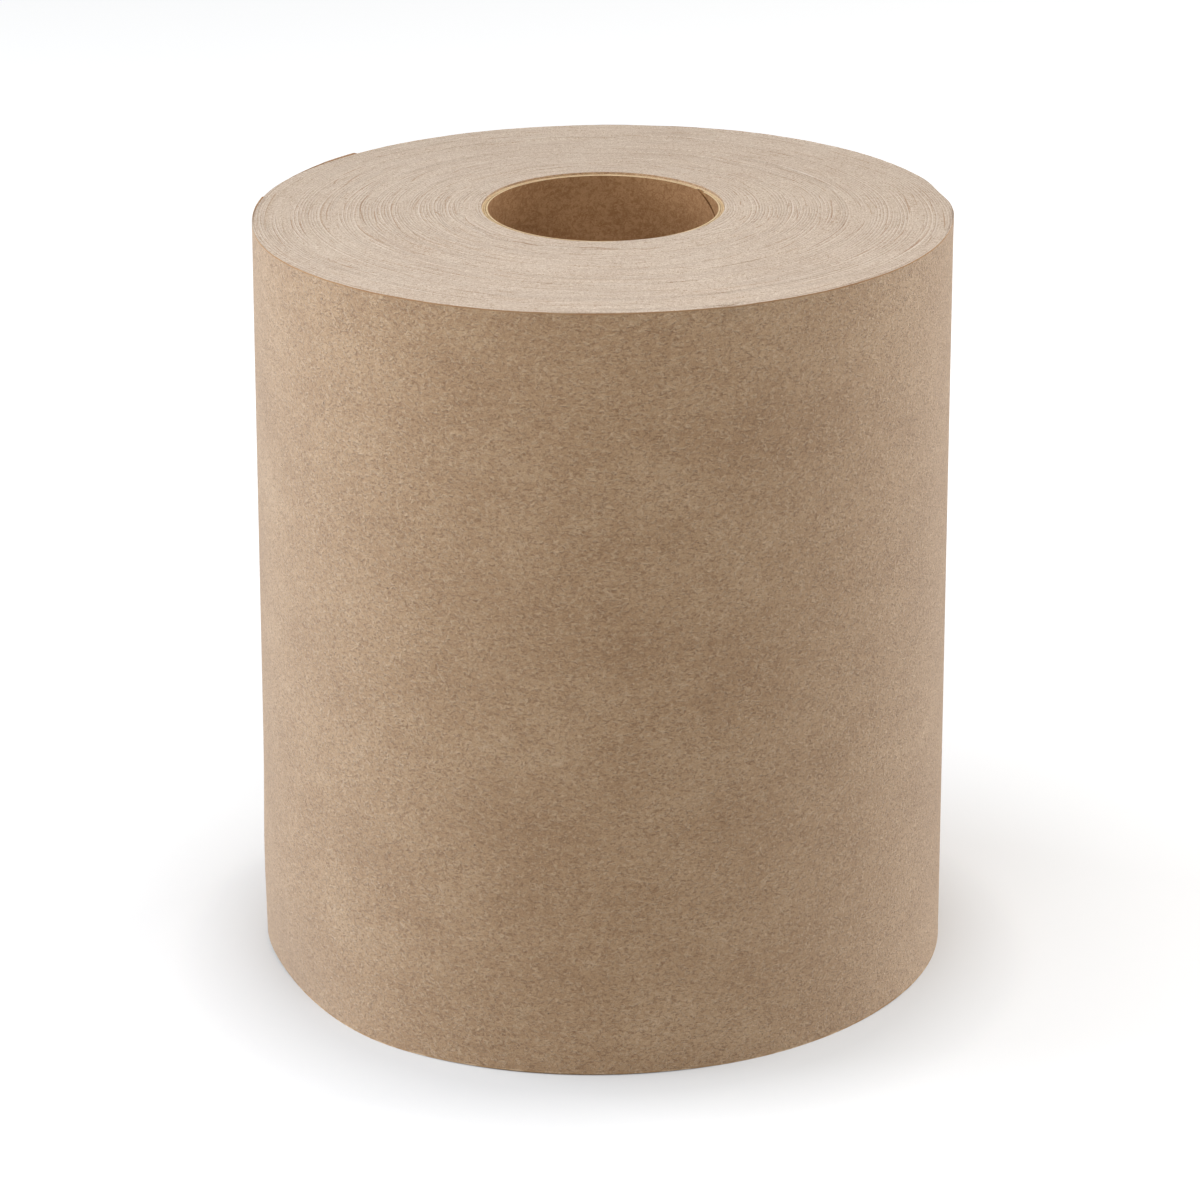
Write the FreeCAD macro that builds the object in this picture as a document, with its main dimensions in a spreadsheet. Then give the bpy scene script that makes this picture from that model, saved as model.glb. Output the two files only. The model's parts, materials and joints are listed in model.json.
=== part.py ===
import FreeCAD, Part
import math
import os

import Sketcher

# A hardwound paper towel roll: one long brown paper web wound on a paperboard core.
# Millimetres, +Z up. The roll stands on its lower end, with the origin on its axis at the floor.

# Driving dimensions: name, value, what it is
SIZES = [
    ("roll_diameter", 183.0, "outside of the last turn, where the web ends"),
    ("web_width", 203.2, "width of the paper web, which is the length of every turn"),
    ("core_bore", 60.0, "inside of the core, where the dispenser's spindle goes"),
    ("core_wall", 1.6, "three glued plies of paperboard"),
    ("core_length", 202.2, "the core is cut a little shorter than the web is wide"),
    ("core_recess", 0.5, "from the innermost turns' upper edge down to the core's"),
    ("inner_rise", 1.7, "how far the innermost turns have crept up past the outermost"),
    ("bundle_relief", 0.4, "how far a bundle may stand above an even slope from rim to core"),
    ("sheet_thickness", 0.2, "one ply of creped towel"),
    ("tail_angle", 139.0, "degrees from +X to the web's outer end"),
    ("seam_width", 1.4, "open gap between two winds of the core's inner ply"),
    ("seam_depth", 0.5, "one ply"),
    ("seam_lead", 80.0, "rise of the seam in one wind round the bore"),
    ("seam_angle", 34.0, "degrees from +X to the seam at the core's upper edge"),
]
BUNDLES = 15  # groups of turns whose edges lie level with each other
GOLDEN = 0.618034  # steps by this share of one scatter evenly and never repeat
STEP_SCATTER = 0.45  # how far a bundle's edge wanders, as a share of an even spacing
TRIM = 1.0  # stock outside the roll that the last turn's outline cuts away

XY, XZ, Z_AXIS = "XY_Plane", "XZ_Plane", "Z_Axis"
ORIGIN = (-1, 1)  # the sketch's own origin, as a constraint names it
X_AXIS, Y_AXIS = -1, -2  # the sketch's own axes
START, END, CENTRE = 1, 2, 3

# What the sizes give, as expressions of the sheet
ROLL_RADIUS = "Sizes.roll_diameter / 2"
BORE_RADIUS = "Sizes.core_bore / 2"
SEAT_RADIUS = "(Sizes.core_bore / 2 + Sizes.core_wall)"
CORE_TOP = "(Sizes.web_width + Sizes.inner_rise - Sizes.core_recess)"


def make_sizes(doc):
    sheet = doc.addObject("Spreadsheet::Sheet", "Sizes")
    for row, (alias, value, meaning) in enumerate(SIZES, start=1):
        sheet.set(f"A{row}", alias)
        sheet.set(f"B{row}", str(value))
        sheet.set(f"C{row}", meaning)
        sheet.setAlias(f"B{row}", alias)
    doc.recompute()


def number(doc, expression):
    """What an expression of the sheet comes to, as a plain number."""
    value = doc.Sizes.evalExpression(expression)
    return float(getattr(value, "Value", value))


def origin_feature(body, role):
    return next(f for f in body.Origin.OriginFeatures if f.Role == role)


def new_sketch(body, name, role):
    sketch = body.newObject("Sketcher::SketchObject", name)
    sketch.AttachmentSupport = [(origin_feature(body, role), "")]
    sketch.MapMode = "FlatFace"
    return sketch


def bind(sketch, name, kind, where, expression):
    """A dimension of the sketch that follows the sheet."""
    value = number(sketch.Document, expression)
    index = sketch.addConstraint(Sketcher.Constraint(kind, *where, value))
    sketch.renameConstraint(index, name)
    sketch.setExpression(f"Constraints.{name}", expression)


def closed_outline(sketch, corners):
    """Straight edges from corner to corner and back, each level or upright."""
    vectors = [FreeCAD.Vector(x, y, 0) for x, y in corners]
    edges = list(zip(vectors, vectors[1:] + vectors[:1]))
    sketch.addGeometry([Part.LineSegment(a, b) for a, b in edges], False)
    last = len(edges) - 1
    for n, (a, b) in enumerate(edges):
        level = abs(a.y - b.y) < abs(a.x - b.x)
        sketch.addConstraint(Sketcher.Constraint("Horizontal" if level else "Vertical", n))
        sketch.addConstraint(Sketcher.Constraint("Coincident", n, END, 0 if n == last else n + 1, START))


def add_circle(sketch, name, expression):
    radius = number(sketch.Document, expression)
    circle = sketch.addGeometry(Part.Circle(FreeCAD.Vector(), FreeCAD.Vector(0, 0, 1), radius), False)
    sketch.addConstraint(Sketcher.Constraint("Coincident", circle, CENTRE, *ORIGIN))
    bind(sketch, name, "Radius", (circle,), expression)


def add_halved_circle(sketch, name, expression):
    """A circle in a right and a left half, whose wall is then two faces. The seam winds round it
    in pieces of half a turn, where one face would wind three and a half times over itself."""
    radius = number(sketch.Document, expression)
    circle = Part.Circle(FreeCAD.Vector(), FreeCAD.Vector(0, 0, 1), radius)
    quarter = math.pi / 2
    right = sketch.addGeometry(Part.ArcOfCircle(circle, -quarter, quarter), False)
    left = sketch.addGeometry(Part.ArcOfCircle(circle, quarter, 3 * quarter), False)
    sketch.addConstraint(Sketcher.Constraint("Coincident", right, CENTRE, *ORIGIN))
    sketch.addConstraint(Sketcher.Constraint("Tangent", right, END, left, START))
    sketch.addConstraint(Sketcher.Constraint("Coincident", left, END, right, START))
    sketch.addConstraint(Sketcher.Constraint("PointOnObject", right, START, Y_AXIS))
    sketch.addConstraint(Sketcher.Constraint("PointOnObject", right, END, Y_AXIS))
    bind(sketch, name, "Radius", (right,), expression)


def check_cut(feature, before):
    """A cut that faces away from the solid removes nothing and says nothing."""
    if not feature.Shape.Volume < before - 1:
        raise RuntimeError(f"{feature.Name} removed no material")


# The wound web

def bundle_edge(n):
    """Radius between bundle n - 1 and bundle n. Bundle 0 lies on the core."""
    if n == 0:
        return SEAT_RADIUS
    if n == BUNDLES:
        return f"{ROLL_RADIUS} + {TRIM}"
    share = (n + STEP_SCATTER * (n * GOLDEN % 1 - 0.5)) / BUNDLES
    return f"{SEAT_RADIUS} + ({ROLL_RADIUS} - {SEAT_RADIUS}) * {share:.4f}"


def bundle_shift(n):
    """How far bundle n has crept up the roll. The outermost stays on the floor."""
    inward = 1 - n / (BUNDLES - 1)
    scatter = n * GOLDEN % 1 if 0 < n < BUNDLES - 1 else 0
    return f"Sizes.inner_rise * {inward:.4f} + Sizes.bundle_relief * {scatter:.4f}"


def draw_section(body):
    """Half the roll's section: each bundle is one web width tall and stands at its own height."""
    doc = body.Document
    sketch = new_sketch(body, "turns_section", XZ)
    radii = [bundle_edge(n) for n in range(BUNDLES + 1)]
    shifts = [bundle_shift(n) for n in range(BUNDLES)]
    width = number(doc, "Sizes.web_width")
    floor = [(number(doc, radii[k]), number(doc, shifts[n])) for n in range(BUNDLES) for k in (n, n + 1)]
    ceiling = [(radius, height + width) for radius, height in reversed(floor)]
    closed_outline(sketch, floor + ceiling)

    # edges in order: floor of bundle 0, riser, floor of bundle 1 ... outside, then back along the ceiling
    outside = 2 * BUNDLES - 1
    bore = 4 * BUNDLES - 1
    for n in range(BUNDLES):
        below, above = 2 * n, bore - 1 - 2 * n
        bind(sketch, f"shift_{n}", "DistanceY", (*ORIGIN, below, START), shifts[n])
        bind(sketch, f"width_{n}", "DistanceY", (below, START, above, END), "Sizes.web_width")
    bind(sketch, "seat", "DistanceX", (*ORIGIN, bore, START), radii[0])
    bind(sketch, "stock", "DistanceX", (*ORIGIN, outside, START), radii[BUNDLES])
    for n in range(1, BUNDLES):
        bind(sketch, f"step_{n}", "DistanceX", (*ORIGIN, 2 * n - 1, START), radii[n])
        bind(sketch, f"upper_step_{n}", "DistanceX", (*ORIGIN, bore - 2 * n, START), radii[n])
    return sketch


def draw_last_turn(body):
    """The last turn's outside as a spiral of two half circles, whose radius grows by one sheet.
    Their centres lie a quarter of a sheet to either side of the roll's axis. It is drawn with the
    web's outer end on the sketch's X axis and then turned to the tail angle."""
    doc = body.Document
    sketch = new_sketch(body, "last_turn_outline", XY)
    sketch.setExpression("AttachmentOffset.Rotation.Angle", "Sizes.tail_angle * 1 deg")
    radius, sheet = number(doc, ROLL_RADIUS), number(doc, "Sizes.sheet_thickness")
    axis = FreeCAD.Vector(0, 0, 1)
    first = Part.Circle(FreeCAD.Vector(-sheet / 4, 0, 0), axis, radius - 0.75 * sheet)
    second = Part.Circle(FreeCAD.Vector(sheet / 4, 0, 0), axis, radius - 0.25 * sheet)
    lower = sketch.addGeometry(Part.ArcOfCircle(first, math.pi, 2 * math.pi), False)
    upper = sketch.addGeometry(Part.ArcOfCircle(second, 0, math.pi), False)
    tail = sketch.addGeometry(
        Part.LineSegment(FreeCAD.Vector(radius - sheet, 0, 0), FreeCAD.Vector(radius, 0, 0)), False
    )
    joins = [((lower, START), (upper, END)), ((lower, END), (tail, START)), ((tail, END), (upper, START))]
    for a, b in joins:
        sketch.addConstraint(Sketcher.Constraint("Coincident", *a, *b))
    for point in ((lower, CENTRE), (lower, START), (lower, END), (upper, CENTRE), (upper, START)):
        sketch.addConstraint(Sketcher.Constraint("PointOnObject", *point, X_AXIS))
    bind(sketch, "full_radius", "DistanceX", (*ORIGIN, tail, END), ROLL_RADIUS)
    bind(sketch, "sheet", "DistanceX", (tail, START, tail, END), "Sizes.sheet_thickness")
    bind(sketch, "lower_radius", "Radius", (lower,), f"{ROLL_RADIUS} - 0.75 * Sizes.sheet_thickness")
    add_circle(sketch, "clear_of_stock", f"{ROLL_RADIUS} + 2 * {TRIM}")
    return sketch


def make_towel_web(doc):
    body = doc.addObject("PartDesign::Body", "towel_web")
    section = draw_section(body)
    wound = body.newObject("PartDesign::Revolution", "wound_turns")
    wound.Profile = section
    wound.ReferenceAxis = (origin_feature(body, Z_AXIS), [""])
    wound.Angle = 360
    doc.recompute()
    outline = draw_last_turn(body)
    trimmed = body.newObject("PartDesign::Pocket", "last_turn")
    trimmed.Profile = outline
    trimmed.Type = "ThroughAll"
    trimmed.Reversed = True
    doc.recompute()
    check_cut(trimmed, wound.Shape.Volume)
    body.Tip = trimmed
    return body


# The core

def draw_ply_gap(body):
    """Section of the open gap between two winds of the inner ply, on the XZ plane where the
    seam passes +X below the core."""
    doc = body.Document
    sketch = new_sketch(body, "ply_gap_section", XZ)
    start = f"{CORE_TOP} - Sizes.seam_lead * (Sizes.seam_angle / 360 + ceil({CORE_TOP} / Sizes.seam_lead))"
    # the gap is measured across the seam, which lies aslant to this section
    across = "(pi * Sizes.core_bore / hypot(pi * Sizes.core_bore; Sizes.seam_lead))"
    tall = f"Sizes.seam_width / {across}"
    inner = f"{BORE_RADIUS} - Sizes.seam_depth"
    outer = f"{BORE_RADIUS} + Sizes.seam_depth"
    low, high = number(doc, start), number(doc, f"{start} + {tall}")
    near, far = number(doc, inner), number(doc, outer)
    closed_outline(sketch, [(near, low), (far, low), (far, high), (near, high)])
    bind(sketch, "near", "DistanceX", (*ORIGIN, 0, START), inner)
    bind(sketch, "far", "DistanceX", (*ORIGIN, 0, END), outer)
    bind(sketch, "start", "DistanceY", (*ORIGIN, 0, START), start)
    bind(sketch, "tall", "DistanceY", (0, END, 1, END), tall)
    return sketch


def make_core_tube(doc):
    body = doc.addObject("PartDesign::Body", "core_tube")
    ends = new_sketch(body, "core_outline", XY)
    ends.setExpression("AttachmentOffset.Base.z", f"{CORE_TOP} - Sizes.core_length")
    add_halved_circle(ends, "bore", BORE_RADIUS)
    add_circle(ends, "seat", SEAT_RADIUS)
    tube = body.newObject("PartDesign::Pad", "plies")
    tube.Profile = ends
    tube.setExpression("Length", "Sizes.core_length")
    tube.Refine = False  # keeps the bore's two halves two faces
    doc.recompute()
    gap = draw_ply_gap(body)
    seam = body.newObject("PartDesign::SubtractiveHelix", "inner_seam")
    seam.Profile = gap
    seam.ReferenceAxis = (origin_feature(body, Z_AXIS), [""])
    seam.Mode = "pitch-height-angle"
    seam.setExpression("Pitch", "Sizes.seam_lead")
    seam.setExpression("Height", f"Sizes.seam_lead * (2 + ceil({CORE_TOP} / Sizes.seam_lead))")
    seam.Refine = False
    doc.recompute()
    check_cut(seam, tube.Shape.Volume)
    body.Tip = seam
    return body


def check(doc, bodies):
    for item in doc.Objects:
        if "Invalid" in item.State or "Error" in item.State:
            raise RuntimeError(f"{item.Name} failed: {item.State}")
    for body in bodies:
        shape = body.Shape
        if shape.isNull() or not shape.isValid() or len(shape.Solids) != 1:
            raise RuntimeError(f"{body.Label} is not one valid solid")


def main():
    doc = FreeCAD.newDocument("paper_towel_roll")
    make_sizes(doc)
    bodies = [make_core_tube(doc), make_towel_web(doc)]
    doc.recompute()
    check(doc, bodies)
    os.makedirs("parts", exist_ok=True)
    for body in bodies:
        body.Shape.exportStep(f"parts/{body.Label}.step")
        box = body.Shape.optimalBoundingBox()
        print(f"{body.Label}: {body.Shape.Volume / 1000:.1f} cm3, z {box.ZMin:.2f} to {box.ZMax:.2f} mm")


main()
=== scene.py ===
import json
import math

import bpy
import numpy as np
from bpy.props import FloatProperty, FloatVectorProperty, IntProperty, PointerProperty
from bpy.types import Operator, Panel, PropertyGroup
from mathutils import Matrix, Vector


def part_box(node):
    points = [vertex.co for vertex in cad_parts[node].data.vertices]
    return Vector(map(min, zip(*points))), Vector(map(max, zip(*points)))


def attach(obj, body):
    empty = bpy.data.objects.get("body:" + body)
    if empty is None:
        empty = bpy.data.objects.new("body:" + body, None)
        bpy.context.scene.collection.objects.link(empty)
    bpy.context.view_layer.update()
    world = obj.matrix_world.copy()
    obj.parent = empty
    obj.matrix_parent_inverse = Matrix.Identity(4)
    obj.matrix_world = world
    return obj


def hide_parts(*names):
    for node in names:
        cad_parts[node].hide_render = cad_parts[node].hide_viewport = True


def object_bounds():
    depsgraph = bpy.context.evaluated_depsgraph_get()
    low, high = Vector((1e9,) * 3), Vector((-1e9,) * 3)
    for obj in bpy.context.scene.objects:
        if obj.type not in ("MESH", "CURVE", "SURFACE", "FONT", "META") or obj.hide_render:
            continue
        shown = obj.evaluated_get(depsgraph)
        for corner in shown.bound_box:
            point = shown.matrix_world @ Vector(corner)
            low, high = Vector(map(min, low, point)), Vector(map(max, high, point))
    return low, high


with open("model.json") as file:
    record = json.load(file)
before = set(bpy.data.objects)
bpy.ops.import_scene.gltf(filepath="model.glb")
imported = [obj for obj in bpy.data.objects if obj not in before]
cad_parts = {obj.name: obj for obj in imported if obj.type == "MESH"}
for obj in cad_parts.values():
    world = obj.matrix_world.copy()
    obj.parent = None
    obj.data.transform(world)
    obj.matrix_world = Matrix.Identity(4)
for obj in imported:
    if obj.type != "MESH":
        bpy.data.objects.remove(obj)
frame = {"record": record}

bl_info = {
    "name": "Paper towel roll",
    "version": (1, 0, 0),
    "blender": (4, 5, 0),
    "location": "View3D > Sidebar > Towel roll",
    "description": (
        "Dresses a hardwound paper towel roll: turn edges, loose last turn, wound core, studio"
    ),
    "category": "Object",
}

# The frame's own sizes, in metres
CAD_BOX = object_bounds()
WEB_LOW, WEB_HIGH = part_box("towel_web")
CORE_LOW, CORE_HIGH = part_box("core_tube")
MOUNTS = {mount["name"]: mount for mount in frame["record"]["mounts"]}
MM = 0.001
ROLL_RADIUS = max(WEB_HIGH.x, -WEB_LOW.x)
SEAT_RADIUS = CORE_HIGH.x
BORE_RADIUS = MOUNTS["core_bore"]["dims"]["r_mm"] * MM

# One seed for each thing that is uneven, so that no piece depends on another's draws
END_SEED, LOWER_END_SEED, SLACK_SEED, FUZZ_SEED = 11, 12, 3, 7


def linear(hex_colour):
    """An sRGB hex colour as the linear red, green and blue that shaders take."""
    channels = [int(hex_colour[n : n + 2], 16) / 255 for n in (1, 3, 5)]
    return tuple(c / 12.92 if c <= 0.04045 else ((c + 0.055) / 1.055) ** 2.4 for c in channels)


def length(name, description, default):
    """A setting in metres."""
    return FloatProperty(
        name=name, description=description, default=default, unit="LENGTH", precision=5
    )


def angle(name, description, degrees):
    """A setting given in degrees and held in radians."""
    return FloatProperty(
        name=name, description=description, default=math.radians(degrees), subtype="ANGLE"
    )


def colour(name, description, hex_colour):
    """A colour setting, given in sRGB hex."""
    return FloatVectorProperty(
        name=name, description=description, default=linear(hex_colour), subtype="COLOR"
    )


def light(name, description, default):
    """A lamp's watts or the room's strength."""
    return FloatProperty(name=name, description=description, default=default, min=0)


class TOWELROLL_PG_web(PropertyGroup):
    """The wound paper"""

    width: length("Web width", "Height of every turn", 203.2 * MM)
    sheet: length("Sheet", "Thickness of one ply of creped towel", 0.2 * MM)
    slip: length("Slip", "Air between the last turn and the one under it", 0.03 * MM)
    inner_rise: length("Inner rise", "How far the innermost turns have crept up", 1.7 * MM)
    inner_tilt: length("Inner tilt", "How much further they have crept at the back", 0.5 * MM)
    turn_relief: length("Turn relief", "How unevenly small groups of turns lie", 0.02 * MM)
    bundle_relief: length("Bundle relief", "How unevenly bundles of turns lie", 0.05 * MM)
    line_wander: length("Line wander", "How far a turn's edge strays from its circle", 0.5 * MM)
    slack: length("Slack", "How far the outside swells and sinks", 0.25 * MM)
    oval: length("Oval", "How far the outside is out of round", 1.3 * MM)
    oval_angle: angle("Oval angle", "Where it stands out most, from +X", 42)
    foot_spread: length("Foot spread", "How much wider the foot is than the rim", 1.4 * MM)
    tail_angle: angle("Tail angle", "Where the web ends, from +X", 139)
    columns: IntProperty(name="Columns", description="Steps round the roll", default=256, min=64)
    rows: IntProperty(name="Rows", description="Steps from core to rim", default=290, min=20)


class TOWELROLL_PG_core(PropertyGroup):
    """The spiral-wound tube"""

    ply: length("Ply", "Thickness of one ply of board", 0.5 * MM)
    seam_width: length("Seam width", "Open gap between two winds of the inner ply", 0.8 * MM)
    seam_lead: length("Seam lead", "Rise of the seam in one wind", 80 * MM)
    seam_angle: angle("Seam angle", "Where the seam meets the upper edge, from +X", 30.5)
    glue_line: length("Glue line", "Width and depth of the line between plies", 0.12 * MM)


class TOWELROLL_PG_colours(PropertyGroup):
    """Paper and board as they look in plain white light"""

    towel: colour("Towel", "Brown creped towel", "#B8946E")
    towel_pale: colour("Pale fibres", "The lighter fibres in it", "#D9BC9A")
    towel_dark: colour("Dark fibres", "The darker fibres in it", "#8B6542")
    # painted shade: darker brown strips just under the last turn's upper edge, on both faces
    upper_edge_shade: colour("Shaded edge", "The last turn's upper edge", "#AC825C")
    fleck: colour("Fleck", "Specks of bark and unbleached wood", "#5F452E")
    cut_edge: colour("Cut edge", "Ends of the turns, where the slitter left them", "#DACBBB")
    cut_shade: colour("Between turns", "Shade between the ends of the turns", "#AA907A")
    # painted shade in the gaps where two turns stand apart, and in sparse dashes
    gap_shade: colour("Open turns", "Where two turns stand apart", "#A07C5E")
    # painted highlight where a turn stands proud
    proud_highlight: colour("Proud turns", "Where a turn's fuzzy edge stands up", "#EADDD0")
    liner: colour("Core liner", "Kraft board inside the core", "#B38A61")
    liner_dark: colour("Liner mottling", "Darker patches in it", "#916842")
    bared: colour("Bared ply", "The middle ply, where the seam shows it", "#BE8E56")
    # painted shade along the inner ply's edges at the seam and where the plies meet
    ply_edge_shade: colour("Seam edge", "Edges of the inner ply along the seam", "#6B4A2C")
    board_edge: colour("Board edge", "Cut edge of the core", "#DAC29C")


class TOWELROLL_PG_studio(PropertyGroup):
    """Camera and lamps"""

    lens: FloatProperty(
        name="Lens", description="Focal length on a 36 mm sensor", default=129, unit="CAMERA"
    )
    distance: length("Distance", "From the roll's axis to the camera, along the floor", 1080.6 * MM)
    sideways: length("Sideways", "Camera to the right of the axis", -0.79 * MM)
    height: length("Height", "Camera above the floor", 502.9 * MM)
    pitch: angle("Pitch", "Downward tilt of the camera", 20.656)
    room: light("Room light", "Light from all round", 0.19)
    left: light("Left lamp", "Watts of the left softbox", 19.0)
    right: light("Right lamp", "Watts of the right softbox", 18.0)
    left_tint: colour("Left lamp's colour", "A little cool", "#F5FAFF")
    right_tint: colour("Right lamp's colour", "A little warm", "#FFFAF1")
    top: light("Top lamp", "Watts of the overhead softbox", 4.75)


# Places round the roll: each has its centre and half width in degrees from +X, and how far it
# goes in millimetres
RIM_DENT = [(12.5, 8.5, 0.7)]
FLAT_SIDE = [(183, 24, 0.45)]
CRUSHED_FOOT = [(205, 30, 2.9)]
WORN_FOOT = [(191, 22, 0.6)]  # how far the whole foot is worn up
RIM_MARKS = [(-6, 12, 0.4), (60, 25, 0.1), (-120, 30, 0.08)]  # the last turn stands up
FOOT_MARKS = [(-95, 34, 0.5), (-30, 20, 0.25)]  # its lower edge has crept up
# its upper edge has come away from the turn below it
RIM_GAPS = [(143, 17, 0.08), (181, 12, 0.06), (-5, 11, 0.1), (-69.5, 4.5, 0.5)]
NICK = [(-70.5, 3.2, 1.4)]  # a slit between turns near the front rim
# Where the last turn stands up at once and dies away from there: start and run in degrees, rise in
# millimetres. The second starts where the web ends.
RIM_TEAR, TAIL_LIFT = (171, 24, 0.42), (20, 0.36)

# How far such places reach, in metres
RIM_DENT_REACH, FOOT_REACH, GAP_REACH = 60 * MM, 30 * MM, 6 * MM
FLAT_FROM = 20 * MM, 60 * MM  # the flat side begins and is whole, up from the floor
# How far out between core and rim the nick lies, and how wide it is, as shares
NICK_SHARE, NICK_WIDTH = 0.982, 0.009
NOMINAL_AT = 0.72  # share of the roll's height where its outside is as wide as the frame's
# Where the turn under the last comes out from under the web's end, in degrees past it
LAP_STEP = 9, 26
LAP = math.radians(8)  # how far the last turn runs on under its own start

BUNDLE_WIDTHS, MOST_BUNDLES = (0.7 * MM, 3.4 * MM), 60
GROUP_WIDTH = 0.55 * MM
STRAY_CIRCLES = 9  # circles from core to rim that each stray on their own, with the rest between
SIDE_STEPS, BORE_STEPS = 11, 5  # steps of the web's mesh from end to end
RAGGED = 0.03 * MM  # how uneven the last turn's edges are
PROUD = 0.05 * MM  # how far its upper edge stands above the end face all round
PALE_STRIP = 0.35 * MM  # height of the pale strip at its lower edge, partly painted highlight and partly loose cut fibres
CORE_COLUMNS = 180
ROUGH_CUT = 0.02 * MM  # how uneven the core's cut edges are
BUCKLE = 0.03 * MM  # how far its inner ply bends inwards
HAIRLINE = 0.02 * MM  # air between that ply and the one round it


# Shapes

def columns_round(count):
    """Azimuths of the columns of a grid that closes round the roll."""
    return np.arange(count) * (2 * np.pi / count)


def ease_down(away):
    """1 at 0, and an even ease to 0 at 1 and beyond."""
    return np.where(away < 1, np.cos(np.minimum(away, 1) * np.pi / 2) ** 2, 0.0)


def marks(azimuth, places):
    """How far a list of places stands up or in there, in metres."""
    degrees = np.degrees(azimuth)
    return sum(
        MM * size * ease_down(np.abs((degrees - centre + 180) % 360 - 180) / half_width)
        for centre, half_width, size in places
    )


def torn(azimuth, start, run, size):
    """A rise that begins at once at the start, in degrees, and is gone after the run."""
    hair = 1e-6  # keeps the start itself from being a full turn past
    return MM * size * ease_down((np.degrees(azimuth) - start + hair) % 360 / run)


def smooth_step(value, start, end):
    """0 up to the start, 1 from the end on, and an even ease between."""
    share = np.clip((value - start) / (end - start), 0, 1)
    return share * share * (3 - 2 * share)


def wander(rng, rows, azimuth, waves, falloff):
    """Rows of smooth random heights that close round the roll, with a spread of about 1."""
    order = np.arange(1, waves + 1)
    strength = order ** -float(falloff)
    size = rng.normal(0, 1, (rows, waves)) * strength
    phase = rng.uniform(0, 2 * np.pi, (rows, waves))
    heights = np.zeros((rows, len(azimuth)))
    for n in range(waves):
        heights += size[:, n : n + 1] * np.cos(order[n] * azimuth[None, :] + phase[:, n : n + 1])
    return heights / math.sqrt((strength**2).sum() / 2)


def outside_offset(web, azimuth, height):
    """How far the roll's outside stands off a true cylinder there: its slack, its oval shape and
    its spread foot, less a dent at the back right, a flat left side and a crushed left foot."""
    rng = np.random.default_rng(SLACK_SEED)
    swell = 0.0
    for waves in range(2, 16):
        phase, twist = rng.uniform(0, 2 * np.pi, 2)
        swell = swell + np.cos(waves * azimuth + phase + twist * height / web.width) / waves
    near_rim = np.clip(1 - (web.width - height) / RIM_DENT_REACH, 0, 1)
    near_foot = np.clip(1 - height / FOOT_REACH, 0, 1)
    dent = marks(azimuth, RIM_DENT) * near_rim**2
    dent = dent + marks(azimuth, FLAT_SIDE) * smooth_step(height, *FLAT_FROM)
    dent = dent + marks(azimuth, CRUSHED_FOOT) * near_foot**1.5
    oval = web.oval * np.cos(2 * (azimuth - web.oval_angle))
    spread = web.foot_spread * (NOMINAL_AT - height / web.width)
    return web.slack * swell / 2 + oval + spread - dent


def quads(rows, columns, closed_rows, closed_columns):
    """Faces of a grid whose points are numbered row by row."""
    row = np.arange(rows if closed_rows else rows - 1)[:, None]
    column = np.arange(columns if closed_columns else columns - 1)
    here, below = row * columns, (row + 1) % rows * columns
    beside = (column + 1) % columns
    corners = [here + column, here + beside, below + beside, below + column]
    return np.stack([corner.ravel() for corner in corners], axis=1)


def points(radius, azimuth, height):
    """Points in metres from places round the axis."""
    radius, azimuth, height = np.broadcast_arrays(radius, azimuth, height)
    place = [radius * np.cos(azimuth), radius * np.sin(azimuth), height]
    return np.stack(place, axis=-1).reshape(-1, 3)


def add_piece(name, verts, faces, finishes, finish_of_face, slot, node, crease):
    """A mesh object that rides on the roll. Faces turn smoothly up to the crease angle."""
    mesh = bpy.data.meshes.new(name)
    mesh.from_pydata(verts.tolist(), [], faces.tolist())
    for finish in finishes:
        mesh.materials.append(finish)
    mesh.polygons.foreach_set("material_index", np.asarray(finish_of_face, dtype=np.int32))
    mesh.shade_smooth()
    mesh.set_sharp_from_angle(angle=crease)
    mesh.update()
    if mesh.validate():
        raise RuntimeError(f"{name} has faces that aren't sound")
    piece = bpy.data.objects.new(name, mesh)
    bpy.context.scene.collection.objects.link(piece)
    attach(piece, "root")
    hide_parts(node)
    return piece


def end_relief(web, rng, share, azimuth):
    """Heights of the turns' edges from core to rim: bundles that lie together, and groups of a few
    turns within them. Each has its own level, and strays from it a little as it runs round."""
    span = ROLL_RADIUS - SEAT_RADIUS
    widths = rng.uniform(*BUNDLE_WIDTHS, MOST_BUNDLES)
    bundle = np.searchsorted(np.cumsum(widths), share * span)
    level = rng.normal(0, 0.7, (bundle.max() + 1, 1))
    bundles = (level + wander(rng, len(level), azimuth, 8, 0.8))[bundle]
    groups = round(span / GROUP_WIDTH)
    level = rng.normal(0, 0.8, (groups + 1, 1))
    level = level + 0.6 * wander(rng, groups + 1, azimuth, 16, 0.8)
    inside = np.minimum((share * groups).astype(int), groups - 1)
    part = (share * groups - inside)[:, None]
    turns = level[inside] * (1 - part) + level[inside + 1] * part
    return web.bundle_relief * bundles + web.turn_relief * turns


def strayed(web, rng, share, azimuth):
    """How far each point of a turn's edge is off its circle. Nothing strays at the core or the rim,
    nor in full within a twelfth of the way from them."""
    waves = wander(rng, STRAY_CIRCLES, azimuth, 34, 1.0)
    knots = np.linspace(0, 1, STRAY_CIRCLES)
    held = np.clip(np.minimum(share, 1 - share) * 12, 0, 1)
    smooth = np.stack([np.interp(share, knots, column) for column in waves.T], axis=1)
    return web.line_wander * held[:, None] * smooth


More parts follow.
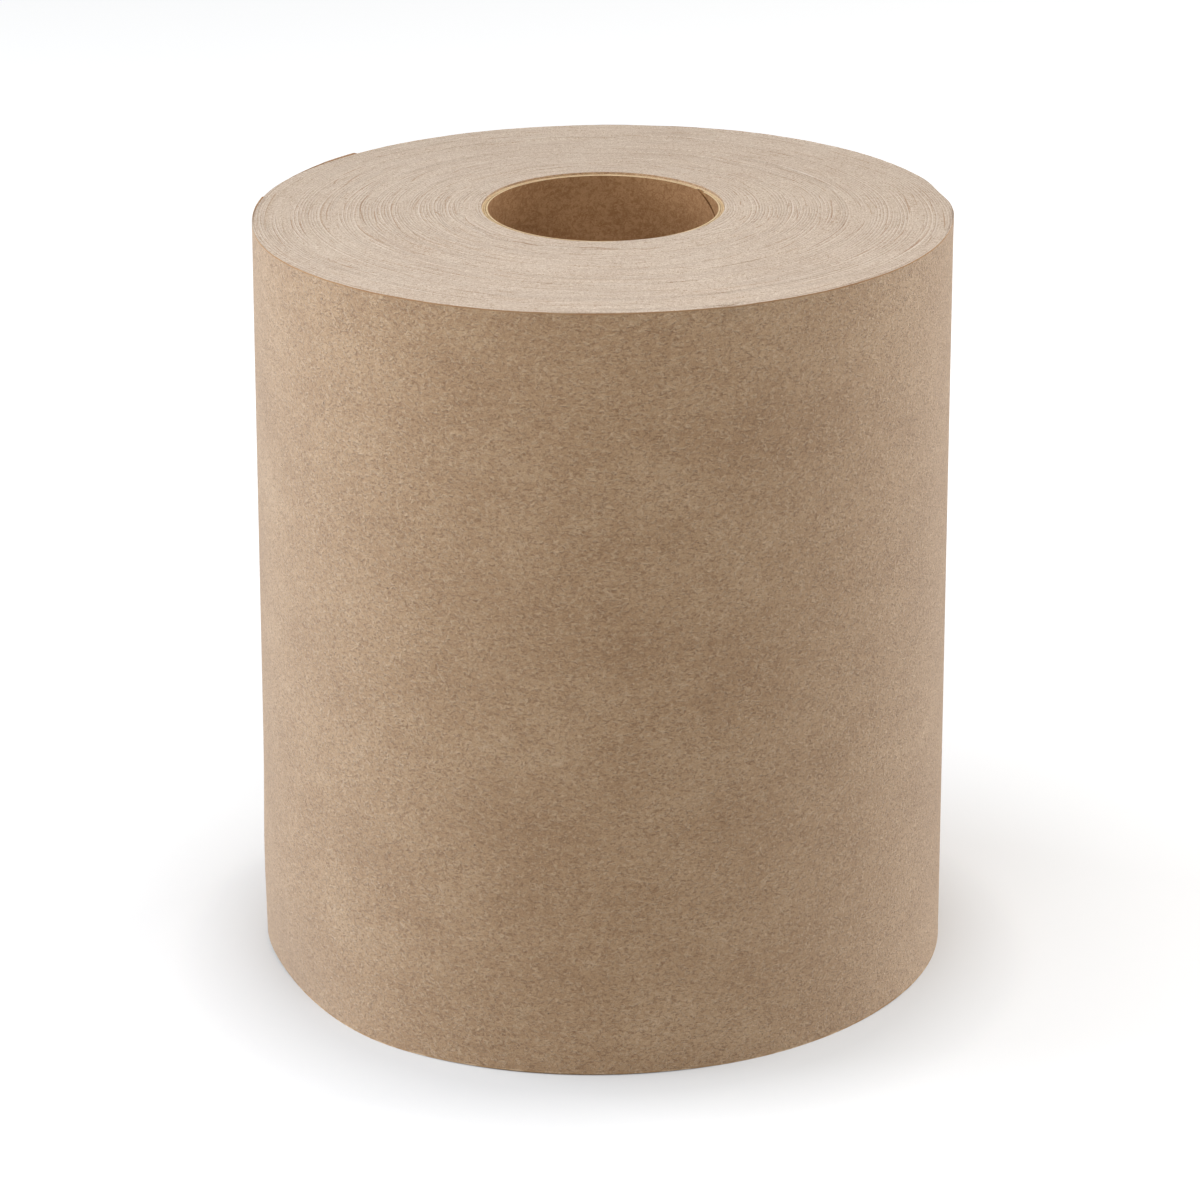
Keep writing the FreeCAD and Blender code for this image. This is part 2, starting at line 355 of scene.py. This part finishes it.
def wound_web(web, colours):
    """The web up to the turn under the last: two ends of turn edges, the outside and the bore."""
    azimuth = columns_round(web.columns)
    step = web.sheet + web.slip
    past_tail = (azimuth - web.tail_angle) % (2 * math.pi)
    clear_of_lap = smooth_step(np.degrees(past_tail), *LAP_STEP)
    rim = ROLL_RADIUS - step * (2 - clear_of_lap * (1 - past_tail / (2 * math.pi)))
    rows_low = web.rows // 4

    def end(seed, rows, level, up):
        rng = np.random.default_rng(seed)
        share = np.linspace(0, 1, rows)
        relief = end_relief(web, rng, share, azimuth)
        stray = strayed(web, rng, share, azimuth)
        outwards = share[:, None]
        outside = rim + outside_offset(web, azimuth, level)
        radius = SEAT_RADIUS + (outside - SEAT_RADIUS) * outwards + stray
        rise = (web.inner_rise + web.inner_tilt * np.sin(azimuth)) * (1 - outwards)
        if up:
            slit = np.exp(-(((outwards - NICK_SHARE) / NICK_WIDTH) ** 2))
            return radius, level + rise + (relief - marks(azimuth, NICK) * slit)
        worn = marks(azimuth, WORN_FOOT) * outwards**8
        return radius, level + rise + worn + np.abs(relief)

    top_radius, top_height = end(END_SEED, web.rows, web.width, True)
    low_radius, low_height = end(LOWER_END_SEED, rows_low, 0.0, False)
    side_height = np.linspace(web.width, 0, SIDE_STEPS + 1)[1:-1, None] + np.zeros_like(azimuth)
    side_radius = rim + outside_offset(web, azimuth, side_height)
    bore_height = np.linspace(0, web.width, BORE_STEPS + 1)[1:-1, None] + np.zeros_like(azimuth)
    bore_radius = np.full_like(bore_height, SEAT_RADIUS)
    radius = np.vstack([top_radius, side_radius, low_radius[::-1], bore_radius])
    height = np.vstack([top_height, side_height, low_height[::-1], bore_height])
    rows = len(radius)
    cut = np.zeros(rows, dtype=int)
    cut[: web.rows - 1] = 1
    low_start = web.rows + len(side_height)
    cut[low_start : low_start + rows_low - 1] = 1
    faces = quads(rows, web.columns, True, True)[:, ::-1]
    finishes = [creped_towel(colours), cut_turns(colours)]
    return add_piece(
        "wound_web", points(radius, azimuth, height), faces, finishes,
        np.repeat(cut, web.columns), "towel_paper", "towel_web", math.radians(60),
    )  # fmt: skip


def wound_sheet(
    name, azimuth, low, high, shares, outer, thickness,
    low_finish=1, high_finish=1, shaded_strips=0, pale_strip_finish=0, **piece,
):  # fmt: skip
    """A closed sheet wound round the axis. azimuth runs on past a full turn; low and high are its
    edges there, low_finish and high_finish what their cut faces are made of, the next two what the
    strips beside the upper and the lower one are (painted shade and a pale strip, partly painted
    highlight, on the last turn), and outer(azimuth, height) its outer face. Rows go down the
    outside, then up the inside."""
    height = high + (low - high) * shares[:, None]
    outside = outer(azimuth, height)
    rows = 2 * len(shares)
    radius = np.vstack([outside, (outside - thickness)[::-1]])
    height = np.vstack([height, height[::-1]])
    count = len(azimuth)
    sides = quads(rows, count, True, False)[:, ::-1]
    k = np.arange(len(shares) - 1)
    start = np.stack([k, k + 1, rows - 2 - k, rows - 1 - k], axis=1) * count
    end = start[:, ::-1] + count - 1
    cut = np.zeros((rows, count - 1), dtype=int)
    cut[len(shares) - 1] = low_finish
    cut[rows - 1] = high_finish
    # the strips just under the upper edge, outside and inside, can take a finish of painted shade
    cut[[0, rows - 2]] = shaded_strips
    # the strip just above the lower edge, outside, can take a pale finish that is partly painted
    # highlight
    cut[len(shares) - 2] = pale_strip_finish
    caps = np.ones(2 * len(k), dtype=int)
    faces = np.vstack([sides, start[:, ::-1], end[:, ::-1]])
    return add_piece(
        name, points(radius, azimuth, height), faces,
        finish_of_face=np.concatenate([cut.ravel(), caps]), **piece,
    )  # fmt: skip


def last_turn(web, colours):
    """The last turn: a full turn of one sheet, from the web's outer end to just under it."""
    azimuth = web.tail_angle + np.linspace(0, 2 * math.pi + LAP, web.columns * 2)
    step = web.sheet + web.slip

    def outer(azimuth, height):
        inward = (azimuth - web.tail_angle) / (2 * math.pi) * step
        from_edge = np.clip((web.width - height) / GAP_REACH, 0, 1)
        gap = marks(azimuth, RIM_GAPS) * (1 - from_edge) ** 2
        return ROLL_RADIUS - inward + outside_offset(web, azimuth, height) + gap

    rng = np.random.default_rng(FUZZ_SEED)
    ragged = wander(rng, 2, azimuth, 120, 0.5) * RAGGED
    high = web.width + PROUD + marks(azimuth, RIM_MARKS) + ragged[0]
    high += torn(azimuth, *RIM_TEAR) + torn(azimuth, math.degrees(web.tail_angle), *TAIL_LIFT)
    low = marks(azimuth, FOOT_MARKS + WORN_FOOT) + np.abs(ragged[1])
    # rows down the sheet, as shares of its height: close together where a gap can open
    near_edge = np.concatenate([[0, 0.06], np.linspace(1 / 6, 1, 6)]) * GAP_REACH / web.width
    # the lowest strip takes a pale finish, partly painted highlight along the lower edge
    shares = np.concatenate([near_edge, np.linspace(0.06, 1 - PALE_STRIP / web.width, 20), [1]])
    # finish 2 is painted shade along the last turn's upper edge
    made_of = [creped_towel, cut_turns, shaded_upper_edge, highlit_lower_edge]
    return wound_sheet(
        "last_turn", azimuth, low, high, shares, outer, web.sheet, shaded_strips=2, pale_strip_finish=3,
        finishes=[finish(colours) for finish in made_of],
        slot="towel_paper", node="towel_web", crease=math.radians(60),
    )  # fmt: skip


def core_wall(core, tilt, colours):
    """The core's outer two plies: a full tube, with a fine groove between their cut edges and a
    dark strip of painted shade at the inner one, where the inner ply meets them."""
    azimuth = columns_round(CORE_COLUMNS)
    inside = BORE_RADIUS + core.ply
    between = inside + core.ply
    line = core.glue_line
    rng = np.random.default_rng(FUZZ_SEED + 1)
    rough = wander(rng, 8, azimuth, 60, 0.5) * ROUGH_CUT
    # radius, and depth below the cut end, of the rows across the upper cut edge
    across = [
        (SEAT_RADIUS, line), (SEAT_RADIUS - line, 0), (between + line, 0), (between, 2 * line),
        (between - line, 0), (inside + line, 0), (inside, line),
    ]  # fmt: skip
    up = [(radius, CORE_HIGH.z - depth) for radius, depth in across]
    down = [(radius, CORE_LOW.z + depth) for radius, depth in reversed(across)]
    radius = np.array([r for r, z in up + down])[:, None] + np.zeros_like(azimuth)
    height = np.array([z for r, z in up + down])[:, None] + np.zeros_like(azimuth)
    count = len(across)
    height[1 : count - 1] -= np.abs(rough[1 : count - 1])
    height[count + 1 : -1] += np.abs(rough[1 : count - 1])
    height += tilt * np.sin(azimuth)
    cut = np.ones(2 * count, dtype=int)
    cut[[count - 1, 2 * count - 1]] = 0
    # painted shade on the chamfers at the inner edge, where the inner ply meets the outer ones
    cut[[count - 2, count]] = 2
    bared = kraft_board("bared_middle_ply", colours.liner_dark, colours.bared, colours.fleck)
    return add_piece(
        "core_wall", points(radius, azimuth, height), quads(2 * count, len(azimuth), True, True),
        [bared, cut_board(colours), shaded_ply_edge(colours)], np.repeat(cut, len(azimuth)),
        "core_board", "core_tube", math.radians(30),
    )  # fmt: skip


def core_liner_ply(core, tilt, colours):
    """The core's inner ply: a strip wound on a right-handed helix, whose edges don't quite meet."""
    circumference = 2 * math.pi * BORE_RADIUS
    slope = math.hypot(circumference, core.seam_lead) / circumference
    gap = core.seam_width * slope
    strip = core.seam_lead - gap
    low_end, high_end = CORE_LOW.z, CORE_HIGH.z

    def lower_edge(azimuth):
        return high_end + core.seam_lead * (azimuth - core.seam_angle) / (2 * math.pi)

    def azimuth_at(height):
        return core.seam_angle + (height - high_end) / core.seam_lead * 2 * math.pi

    least = 0.3 * MM
    first, last = azimuth_at(low_end - strip + least), azimuth_at(high_end - least)
    corners = [azimuth_at(low_end), azimuth_at(high_end - strip)]
    azimuth = np.unique(np.concatenate([np.arange(first, last, math.radians(2)), corners, [last]]))
    low = np.clip(lower_edge(azimuth), low_end, high_end)
    high = np.clip(lower_edge(azimuth) + strip, low_end, high_end)
    # the strip's edges are pale where the core was cut off, and dark with painted shade along the
    # seam
    low_finish = np.where(low[:-1] > low_end, 2, 1)
    high_finish = np.where(high[:-1] < high_end, 2, 1)
    liner = kraft_board("core_liner", colours.liner_dark, colours.liner, colours.fleck)
    rng = np.random.default_rng(FUZZ_SEED + 2)
    buckle = wander(rng, 1, azimuth, 9, 1.0)[0] * BUCKLE
    lean = tilt * np.sin(azimuth)
    thickness = core.ply - HAIRLINE
    return wound_sheet(
        "core_liner_ply", azimuth, low + lean, high + lean, np.linspace(0, 1, 14),
        lambda azimuth, height: BORE_RADIUS + thickness + 0 * height + np.minimum(buckle, 0),
        thickness, low_finish, high_finish,
        finishes=[liner, cut_board(colours), shaded_ply_edge(colours)],
        slot="core_board", node="core_tube", crease=math.radians(30),
    )  # fmt: skip


# Finishes

# The two kinds of math node, and what they are set to do
MATH, VECTOR_MATH = "ShaderNodeMath", "ShaderNodeVectorMath"
PLUS, MINUS, TIMES = {"operation": "ADD"}, {"operation": "SUBTRACT"}, {"operation": "MULTIPLY"}
TIMES_PLUS, UNDER = {"operation": "MULTIPLY_ADD"}, {"operation": "LESS_THAN"}


def fill(tree, node, **sockets):
    """Fills a node's inputs, by name (spaces as underscores) or number (_0 and on), each with a
    value or another node's output."""
    for name, value in sockets.items():
        key = int(name[1:]) if name[1:].isdigit() else name.replace("_", " ")
        if isinstance(value, bpy.types.NodeSocket):
            tree.links.new(value, node.inputs[key])
        else:
            node.inputs[key].default_value = value
    return node


def add(tree, kind, settings=None, **sockets):
    """Adds a node. settings are its own values, sockets what fills its inputs."""
    node = tree.nodes.new(kind)
    for name, value in (settings or {}).items():
        setattr(node, name, value)
    return fill(tree, node, **sockets)


def new_finish(name):
    """A material of one principled surface, and its tree and shader."""
    finish = bpy.data.materials.new(name)
    finish.use_nodes = True
    tree = finish.node_tree
    return finish, tree, tree.nodes["Principled BSDF"]


def layered_noise(tree, where, layers):
    """Noise of several grain sizes added up about 0.5. Each layer is its size in millimetres, its
    strength, how much finer noise it holds and how curled it is."""
    total = 0.5 - sum(strength for size, strength, detail, curl in layers) / 2
    for size, strength, detail, curl in layers:
        noise = add(
            tree, "ShaderNodeTexNoise",
            Vector=where, Scale=1 / (size * MM), Detail=detail, Roughness=0.6, Distortion=curl,
        )  # fmt: skip
        part = add(tree, MATH, TIMES_PLUS, _0=noise.outputs[0], _1=strength, _2=total)
        total = part.outputs[0]
    return total


def ramp(tree, value, stops):
    """Colours along a value: each stop is a place from 0 to 1 and a colour."""
    node = add(tree, "ShaderNodeValToRGB", Fac=value)
    elements = node.color_ramp.elements
    while len(elements) < len(stops):
        elements.new(0.5)
    for element, (place, tint) in zip(elements, stops):
        element.position = place
        element.color = (*tint, 1)
    return node.outputs["Color"]


def flecked(tree, base, where, spacing, radius, tint, share):
    """Specks of one tint on a colour: radius and spacing in millimetres, share of the places that
    have one."""
    cell = add(tree, "ShaderNodeTexVoronoi", Vector=where, Scale=1 / (spacing * MM))
    near = add(tree, MATH, UNDER, _0=cell.outputs["Distance"], _1=radius / spacing)
    picked = add(tree, "ShaderNodeSeparateColor", Color=cell.outputs["Color"])
    chosen = add(tree, MATH, UNDER, _0=picked.outputs[0], _1=share)
    mask = add(tree, MATH, TIMES, _0=near.outputs[0], _1=chosen.outputs[0])
    return tinted(tree, base, mask.outputs[0], 0.75, tint)


def between(tree, value, none, full):
    """0 where the value is at none or beyond, 1 where it is at full or beyond, and even between."""
    slope = 1 / (full - none)
    node = add(
        tree, MATH, {"operation": "MULTIPLY_ADD", "use_clamp": True},
        _0=value, _1=slope, _2=-none * slope,
    )  # fmt: skip
    return node.outputs[0]


def contour(tree, value, level, width, share):
    """The share where a value passes the level, falling to 0 at width to either side of it."""
    off = add(tree, MATH, MINUS, _0=value, _1=level)
    away = add(tree, MATH, {"operation": "ABSOLUTE"}, _0=off.outputs[0])
    line = between(tree, away.outputs[0], width, 0)
    return add(tree, MATH, TIMES, _0=line, _1=share).outputs[0]


def curled_hairs(tree, where, size, width):
    """Loose fibres lying every way: 1 along short curled lines and 0 beside them. size is how wide
    their curls are in millimetres, width the lines' share of that."""
    scale = 1 / (size * MM)
    curls = add(
        tree, "ShaderNodeTexNoise", Vector=where, Scale=scale, Detail=1, Distortion=0.8
    )
    breaks = add(tree, "ShaderNodeTexNoise", Vector=where, Scale=1.7 * scale, Detail=0)
    kept = between(tree, breaks.outputs[0], 0.46, 0.56)
    return contour(tree, curls.outputs[0], 0.5, width, kept)


def tinted(tree, base, mask, strength, tint):
    """A colour with another laid over it where the mask is 1, at the given strength."""
    share = add(tree, MATH, TIMES, _0=mask, _1=strength).outputs[0]
    mixed = add(tree, "ShaderNodeMix", {"data_type": "RGBA"}, _0=share, _6=base, _7=(*tint, 1))
    return mixed.outputs[2]


def stretched(tree, x, y, z):
    """The object's own coordinates, scaled."""
    place = add(tree, "ShaderNodeTexCoord").outputs["Object"]
    return add(tree, VECTOR_MATH, TIMES, _0=place, _1=(x, y, z)).outputs[0]


def creped_towel(colours):
    """Kraft towel, formed wet and creped: a fine felt of curled fibres, cloudy where the pulp lay
    thicker, with a few specks of bark. Dull, with a faint bloom of loose fibres at a low angle."""
    finish, tree, shader = new_finish("creped_kraft_towel")
    where = stretched(tree, 1, 1, 1.45)
    felt = layered_noise(
        tree, where, [(32, 0.25, 1, 0), (6, 0.16, 2, 0.5), (1.4, 0.45, 2, 1.2), (0.4, 0.9, 2, 2.2)]
    )
    stops = [(0.2, colours.towel_dark), (0.5, colours.towel), (0.8, colours.towel_pale)]
    hairs = curled_hairs(tree, where, 1.9, 0.075)
    pores = curled_hairs(tree, stretched(tree, 1.1, 1.1, 1.7), 1.7, 0.08)
    pulp = tinted(tree, ramp(tree, felt, stops), pores, 0.75, colours.towel_dark)
    pulp = tinted(tree, pulp, hairs, 0.55, colours.towel_pale)
    tint = flecked(tree, pulp, stretched(tree, 1, 1, 1), 9, 0.29, colours.fleck, 0.5)
    relief = layered_noise(tree, where, [(0.9, 0.7, 3, 1.2), (0.45, 0.6, 2, 2.5)])
    for lines, height in [(hairs, 1.3), (pores, -0.9)]:
        relief = add(tree, MATH, TIMES_PLUS, _0=lines, _1=height, _2=relief).outputs[0]
    bump = add(tree, "ShaderNodeBump", Height=relief, Strength=0.85, Distance=0.1 * MM)
    fill(
        tree, shader, Base_Color=tint, Normal=bump.outputs[0], Roughness=0.92, IOR=1.47,
        Specular_IOR_Level=0.25, Sheen_Weight=0.42, Sheen_Roughness=0.6,
    )  # fmt: skip
    return finish


def mottled(name, layers, stops, **sockets):
    """A finish of noise alone, coloured by the stops."""
    finish, tree, shader = new_finish(name)
    felt = layered_noise(tree, stretched(tree, 1, 1, 1), layers)
    fill(tree, shader, Base_Color=ramp(tree, felt, stops), **sockets)
    return finish


def shaded_upper_edge(colours):
    """Darker brown strips just under the last turn's upper edge, on both faces: painted shade where
    the edge stands proud of the turn below.
    """
    return mottled(
        "painted_shade_upper_edge", [(14, 1.2, 1, 0), (0.6, 0.8, 1, 1)],
        [(0.2, colours.upper_edge_shade), (0.9, colours.towel)], Roughness=0.8, Specular_IOR_Level=0.25,
    )  # fmt: skip


def highlit_lower_edge(colours):
    """The last turn's lower edge: a pale strip, partly loose cut fibres and partly painted
    highlight where the edge catches the light.
    """
    return mottled(
        "painted_highlight_lower_edge", [(5, 1.4, 1, 0), (0.8, 0.9, 1, 1)],
        [(0.4, colours.towel), (0.7, colours.towel_pale)], Roughness=0.95, Specular_IOR_Level=0.2,
    )  # fmt: skip


def from_axis(tree):
    """How far a place is from the axis, and its direction from there."""
    flat = stretched(tree, 1, 1, 0)
    radius = add(tree, VECTOR_MATH, {"operation": "LENGTH"}, _0=flat)
    outwards = add(tree, VECTOR_MATH, {"operation": "NORMALIZE"}, _0=flat)
    return radius.outputs["Value"], outwards.outputs[0]


def along_turns(tree, along, across, spread):
    """Noise that follows the turns: along and across are its grain round the axis and outwards, in
    millimetres. It closes without a join. spread is its strength."""
    radius, outwards = from_axis(tree)
    drawn_in = (ROLL_RADIUS + SEAT_RADIUS) / 2 * across / along
    turned = add(tree, VECTOR_MATH, TIMES, _0=outwards, _1=(drawn_in, drawn_in, 0))
    high = add(tree, "ShaderNodeCombineXYZ", Z=radius)
    place = add(tree, VECTOR_MATH, PLUS, _0=turned.outputs[0], _1=high.outputs[0])
    return layered_noise(tree, place.outputs[0], [(across, spread, 0, 0)])


def turn_phase(tree, spacing, along):
    """0 to 1 from one line to the next: lines round the axis, about spacing millimetres apart,
    that stray to and fro as they run."""
    radius, _ = from_axis(tree)
    stray = along_turns(tree, along, 3.5 * spacing, 2.2)
    phase = add(tree, MATH, TIMES_PLUS, _0=radius, _1=1 / (spacing * MM), _2=stray)
    return add(tree, MATH, {"operation": "FRACT"}, _0=phase.outputs[0]).outputs[0]


def cut_turns(colours):
    """The turns' edges where the slitter cut them: paler than the sheet's face and fuzzy with cut
    fibres, with fine lines round the axis: painted shade where turns stand apart and in sparse
    dashes, and painted highlight where they stand proud. Real turns lie 0.2 mm apart, too fine to
    show from a step away, so the lines are drawn about 1 mm apart."""
    finish, tree, shader = new_finish("cut_towel_edges")
    place = stretched(tree, 1, 1, 1)
    phase = turn_phase(tree, 0.85, 40)
    kept = between(tree, along_turns(tree, 24, 2.2, 1), 0.3, 0.54)
    broken = between(tree, along_turns(tree, 15, 1.6, 1), 0.53, 0.62)
    grain = layered_noise(tree, place, [(0.45, 2.5, 2, 1.5), (1.6, 0.4, 2, 0.8), (18, 0.2, 1, 0)])
    shaded_gaps = contour(tree, phase, 0.36, 0.16, kept)
    lit_proud_turns = contour(tree, phase, 0.64, 0.16, kept)
    shaded_dashes = contour(tree, turn_phase(tree, 2.4, 26), 0.5, 0.085, broken)
    tint = ramp(tree, grain, [(0.1, colours.cut_shade), (0.75, colours.cut_edge)])
    # painted shade where turns stand apart and in dashes, painted highlight where they stand proud
    tint = tinted(tree, tint, shaded_gaps, 0.48, colours.gap_shade)
    tint = tinted(tree, tint, lit_proud_turns, 0.7, colours.proud_highlight)
    tint = tinted(tree, tint, shaded_dashes, 0.7, colours.gap_shade)
    steps = add(tree, MATH, MINUS, _0=lit_proud_turns, _1=shaded_gaps)
    bump = add(tree, "ShaderNodeBump", Height=steps.outputs[0], Strength=0.8, Distance=0.09 * MM)
    bump = add(
        tree, "ShaderNodeBump",
        Height=grain, Strength=0.7, Distance=0.1 * MM, Normal=bump.outputs[0],
    )  # fmt: skip
    fill(
        tree, shader, Base_Color=tint, Normal=bump.outputs[0], Roughness=0.95, IOR=1.47,
        Specular_IOR_Level=0.2,
    )  # fmt: skip
    return finish


def kraft_board(name, dark, pale, fleck):
    """Kraft board: smoother and redder than the towel, with soft patches where the glue soaked in,
    curled fibres in its surface, and a slight shine."""
    finish, tree, shader = new_finish(name)
    where = stretched(tree, 1, 1, 1.3)
    felt = layered_noise(tree, where, [(14, 0.5, 2, 0), (3.2, 0.8, 3, 0.8), (0.8, 1.4, 2, 2)])
    tint = ramp(tree, felt, [(0.2, dark), (0.75, pale)])
    pale_hairs = curled_hairs(tree, where, 2.6, 0.1)
    dark_hairs = curled_hairs(tree, stretched(tree, 1.2, 1.2, 1.2), 2.2, 0.1)
    tint = tinted(tree, tint, pale_hairs, 0.85, pale)
    tint = tinted(tree, tint, dark_hairs, 0.8, dark)
    tint = flecked(tree, tint, where, 9, 0.25, fleck, 0.4)
    bump = add(tree, "ShaderNodeBump", Height=felt, Strength=0.4, Distance=0.08 * MM)
    fill(
        tree, shader, Base_Color=tint, Normal=bump.outputs[0], Roughness=0.75, IOR=1.5,
        Specular_IOR_Level=0.3,
    )  # fmt: skip
    return finish


def shaded_ply_edge(colours):
    """Dark, thin board: painted shade along the seam's edges and where two plies meet."""
    return kraft_board("painted_shade_ply_edge", colours.ply_edge_shade, colours.liner_dark, colours.fleck)


def cut_board(colours):
    """Board cut with a knife: pale, open fibres."""
    finish, tree, shader = new_finish("cut_core_board")
    where = stretched(tree, 1, 1, 1)
    felt = layered_noise(tree, where, [(2.5, 0.5, 2, 0.5), (0.4, 0.9, 2, 1.5)])
    tint = ramp(tree, felt, [(0.1, colours.liner), (0.55, colours.board_edge)])
    bump = add(tree, "ShaderNodeBump", Height=felt, Strength=0.5, Distance=0.06 * MM)
    fill(
        tree, shader, Base_Color=tint, Normal=bump.outputs[0], Roughness=0.95,
        Specular_IOR_Level=0.2,
    )  # fmt: skip
    return finish


# Light added to the floor for the camera, less near the roll, which paints shade round it: distance
# in metres from a point just in front of the roll's axis, and how much
FLOOR_LIFT = [(0.082, 0.17), (0.09, 0.19), (0.1, 0.28), (0.118, 0.42), (0.16, 0.47), (0.5, 0.65)]
LIFT_SHIFT = 0, 12 * MM, 0  # brings that point to the axis


def seen_directly(tree):
    """1 for what the camera sees, straight or by reflection, and 0 for light on its way."""
    path = add(tree, "ShaderNodeLightPath")
    seen = add(
        tree, MATH, {"operation": "MAXIMUM"},
        _0=path.outputs["Is Camera Ray"], _1=path.outputs["Is Glossy Ray"],
    )  # fmt: skip
    return seen.outputs[0]


def studio_paper():
    """Seamless white background paper. A camera ray gets a little light added, which lifts the lit
    floor to white, and less of it near the roll, which paints shade round the roll over its real
    shadow."""
    finish, tree, shader = new_finish("white_background_paper")
    fill(tree, shader, Base_Color=(0.6, 0.61, 0.625, 1), Roughness=1.0, Specular_IOR_Level=0.0)
    place = add(tree, VECTOR_MATH, PLUS, _0=stretched(tree, 1, 1, 1), _1=LIFT_SHIFT)
    away = add(tree, VECTOR_MATH, {"operation": "LENGTH"}, _0=place.outputs[0])
    stops = [(radius, (level,) * 3) for radius, level in FLOOR_LIFT]
    lift = ramp(tree, away.outputs["Value"], stops)
    glow = add(tree, "ShaderNodeEmission", Color=lift, Strength=seen_directly(tree))
    both = add(tree, "ShaderNodeAddShader", _0=shader.outputs[0], _1=glow.outputs[0])
    fill(tree, tree.nodes["Material Output"], Surface=both.outputs[0])
    return finish


# Studio

def add_floor():
    """A square of paper, wide enough to reach past the camera's view."""
    half = 6.0
    corners = [(-half, -half, 0), (half, -half, 0), (half, half, 0), (-half, half, 0)]
    mesh = bpy.data.meshes.new("floor")
    mesh.from_pydata(corners, [], [(0, 1, 2, 3)])
    mesh.materials.append(studio_paper())
    floor = bpy.data.objects.new("floor", mesh)
    bpy.context.scene.collection.objects.link(floor)


def add_softbox(name, watts, tint, size, place, aim):
    """A square lamp, size metres wide, that shines from a place at another."""
    lamp = bpy.data.lights.new(name, "AREA")
    lamp.color = tint
    lamp.shape = "SQUARE"
    lamp.size = size
    lamp.energy = watts
    holder = bpy.data.objects.new(name, lamp)
    holder.location = place
    holder.rotation_euler = (aim - holder.location).to_track_quat("-Z", "Y").to_euler()
    bpy.context.scene.collection.objects.link(holder)


def light_room(studio):
    """Even light from all round, and white where the camera looks past the floor."""
    world = bpy.data.worlds.new("room")
    world.use_nodes = True
    tree = world.node_tree
    room = fill(tree, tree.nodes["Background"], Color=(1, 1, 1, 1), Strength=studio.room)
    white = add(tree, "ShaderNodeBackground", Color=(1, 1, 1, 1), Strength=1.0)
    choice = add(
        tree, "ShaderNodeMixShader",
        _0=seen_directly(tree), _1=room.outputs[0], _2=white.outputs[0],
    )  # fmt: skip
    fill(tree, tree.nodes["World Output"], Surface=choice.outputs[0])
    bpy.context.scene.world = world


def add_camera(studio):
    """The camera, level from side to side and tilted down."""
    data = bpy.data.cameras.new("camera")
    data.sensor_width = 36
    data.lens = studio.lens
    data.clip_start, data.clip_end = 0.01, 50
    camera = bpy.data.objects.new("camera", data)
    camera.location = (studio.sideways, -studio.distance, studio.height)
    camera.rotation_euler = (math.pi / 2 - studio.pitch, 0, 0)
    bpy.context.scene.collection.objects.link(camera)
    bpy.context.scene.camera = camera


class TOWELROLL_OT_web(Operator):
    """Winds the paper web, with the edges of its turns on both ends"""

    bl_idname = "towelroll.web"
    bl_label = "Wound web"

    def execute(self, context):
        wound_web(context.scene.towel_web, context.scene.towel_colours)
        return {"FINISHED"}


class TOWELROLL_OT_last_turn(Operator):
    """Lays the last turn round the roll, a little loose at its edges"""

    bl_idname = "towelroll.last_turn"
    bl_label = "Last turn"

    def execute(self, context):
        last_turn(context.scene.towel_web, context.scene.towel_colours)
        return {"FINISHED"}


class TOWELROLL_OT_core(Operator):
    """Builds the core: the outer plies, and the inner ply with its open seam"""

    bl_idname = "towelroll.core"
    bl_label = "Wound core"

    def execute(self, context):
        core, colours = context.scene.towel_core, context.scene.towel_colours
        tilt = context.scene.towel_web.inner_tilt
        core_wall(core, tilt, colours)
        core_liner_ply(core, tilt, colours)
        return {"FINISHED"}


class TOWELROLL_OT_studio(Operator):
    """Sets the white floor, the softboxes and the camera"""

    bl_idname = "towelroll.studio"
    bl_label = "Studio"

    def execute(self, context):
        studio = context.scene.towel_studio
        middle = (CAD_BOX[0] + CAD_BOX[1]) / 2
        white = 1, 1, 1
        softboxes = [
            ("left_softbox", studio.left, studio.left_tint, 1.0, (-1.3, 0.15, 0.42)),
            ("right_softbox", studio.right, studio.right_tint, 1.0, (1.3, 0.65, 0.42)),
            ("top_softbox", studio.top, white, 0.65, (0, -0.36, 0.84)),
        ]
        add_floor()
        for name, watts, tint, size, place in softboxes:
            add_softbox(name, watts, tint, size, place, middle)
        light_room(studio)
        add_camera(studio)
        context.scene.view_settings.view_transform = "Standard"
        return {"FINISHED"}


class TOWELROLL_PT_panel(Panel):
    """The roll's sizes, colours and studio, and what builds each piece"""

    bl_idname = "TOWELROLL_PT_panel"
    bl_label = "Paper towel roll"
    bl_space_type = "VIEW_3D"
    bl_region_type = "UI"
    bl_category = "Towel roll"

    def draw(self, context):
        for group in SETTINGS:
            settings = getattr(context.scene, group)
            box = self.layout.box()
            for name in settings.bl_rna.properties.keys():
                if name not in {"rna_type", "name"}:
                    box.prop(settings, name)
        for operator in STEPS:
            self.layout.operator(operator.bl_idname)


SETTINGS = {
    "towel_web": TOWELROLL_PG_web,
    "towel_core": TOWELROLL_PG_core,
    "towel_colours": TOWELROLL_PG_colours,
    "towel_studio": TOWELROLL_PG_studio,
}
STEPS = [TOWELROLL_OT_web, TOWELROLL_OT_last_turn, TOWELROLL_OT_core, TOWELROLL_OT_studio]
CLASSES = [*SETTINGS.values(), *STEPS, TOWELROLL_PT_panel]


def register():
    for cls in CLASSES:
        bpy.utils.register_class(cls)
    for name, group in SETTINGS.items():
        setattr(bpy.types.Scene, name, PointerProperty(type=group))


def unregister():
    for name in SETTINGS:
        delattr(bpy.types.Scene, name)
    for cls in reversed(CLASSES):
        bpy.utils.unregister_class(cls)


def main():
    register()
    bpy.ops.towelroll.web()
    bpy.ops.towelroll.last_turn()
    bpy.ops.towelroll.core()
    bpy.ops.towelroll.studio()


if __name__ == "__main__":
    main()
